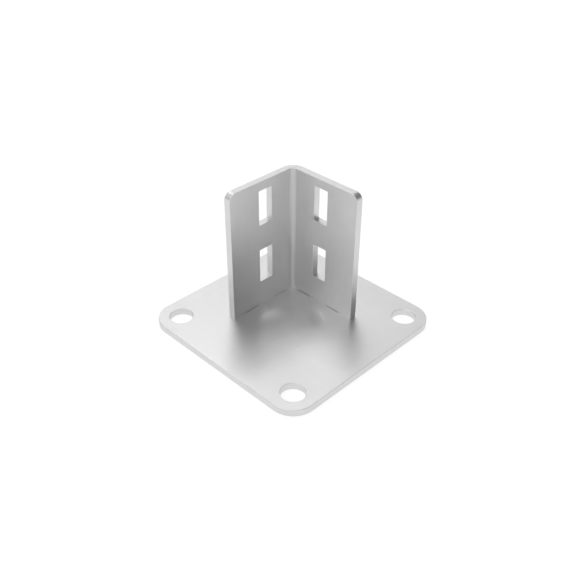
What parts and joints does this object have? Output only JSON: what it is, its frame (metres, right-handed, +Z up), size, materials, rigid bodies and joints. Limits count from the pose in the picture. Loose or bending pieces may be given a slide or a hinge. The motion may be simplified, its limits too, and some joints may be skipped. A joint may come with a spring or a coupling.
{
  "type": "console foot bracket",
  "caption": "Square base plate with anchor holes and an upright slotted angle, tab-located and plug welded, that holds the foot of a console or post to the floor.",
  "frame": {"origin": "middle of the base plate's underside, where the bracket stands on the floor", "axes": "+Z up; X and Y along the plate's sides; the angle's fold is towards -X and +Y, and its legs open towards +X and -Y"},
  "size_m": [0.11, 0.11, 0.079],
  "materials": {
    "plate_steel": "satin, bare",
    "angle_steel": "satin, bare",
    "weld_steel": "ground flush"
  },
  "bodies": {
    "root": {"base_plate": "plate_steel", "slotted_angle": "angle_steel", "tab_welds": "weld_steel"}
  },
  "joints": []
}
